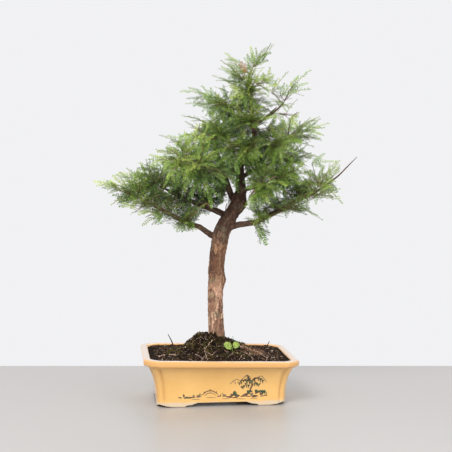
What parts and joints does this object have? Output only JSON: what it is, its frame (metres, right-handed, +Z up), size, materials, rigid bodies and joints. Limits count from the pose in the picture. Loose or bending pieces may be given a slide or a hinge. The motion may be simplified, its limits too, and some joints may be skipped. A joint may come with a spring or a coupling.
{
  "type": "dawn redwood bonsai",
  "caption": "Dawn redwood bonsai with feathery sprays on a leaning trunk, in a flared rectangular glazed pot on bracket feet.",
  "frame": {"origin": "the point on the surface under the middle of the whole plant's bounding box; the pot's own middle is 16 mm to the left of it and 8 mm in front", "axes": "+Z up along the trunk, +X to the right along the pot's long side, -Y out of the pot's painted front"},
  "size_m": [0.5284, 0.3506, 0.7311],
  "materials": {
    "glaze": "gloss",
    "soil": "matte",
    "bark": "matte",
    "foliage": "satin",
    "seedling": "satin"
  },
  "bodies": {
    "root": {"pot": "glaze", "soil": "soil", "trunk_and_branches": "bark", "seedling": "seedling", "spray_second_stem": "foliage", "spray_second_stem_1": "foliage", "spray_second_stem_2": "foliage", "spray_low_left": "foliage", "spray_low_left_1": "foliage", "spray_low_left_2": "foliage", "spray_low_left_3": "foliage", "spray_low_left_4": "foliage", "spray_low_left_5": "foliage", "spray_low_left_6": "foliage", "spray_left": "foliage", "spray_left_1": "foliage", "spray_left_2": "foliage", "spray_left_3": "foliage", "spray_left_front": "foliage", "spray_left_front_1": "foliage", "spray_left_front_2": "foliage", "spray_mid_left": "foliage", "spray_mid_left_1": "foliage", "spray_mid_left_2": "foliage", "spray_high_left": "foliage", "spray_high_left_1": "foliage", "spray_high_left_2": "foliage", "spray_low_right": "foliage", "spray_low_right_1": "foliage", "spray_low_right_2": "foliage", "spray_low_right_3": "foliage", "spray_low_right_4": "foliage", "spray_hanging": "foliage", "spray_right": "foliage", "spray_right_1": "foliage", "spray_right_2": "foliage", "spray_right_back": "foliage", "spray_right_back_1": "foliage", "spray_right_back_2": "foliage", "spray_right_back_3": "foliage", "spray_mid_right": "foliage", "spray_mid_right_1": "foliage", "spray_mid_right_2": "foliage", "spray_high_right": "foliage", "spray_high_right_1": "foliage", "spray_high_right_2": "foliage", "spray_back": "foliage", "spray_back_1": "foliage", "spray_back_2": "foliage", "spray_high_back": "foliage", "spray_high_back_1": "foliage", "spray_high_back_2": "foliage", "spray_inner_front": "foliage", "spray_inner_front_1": "foliage", "spray_high_front": "foliage", "spray_top": "foliage", "spray_top_left": "foliage", "spray_top_right": "foliage", "spray_top_back": "foliage", "spray_top_front": "foliage"}
  },
  "joints": []
}
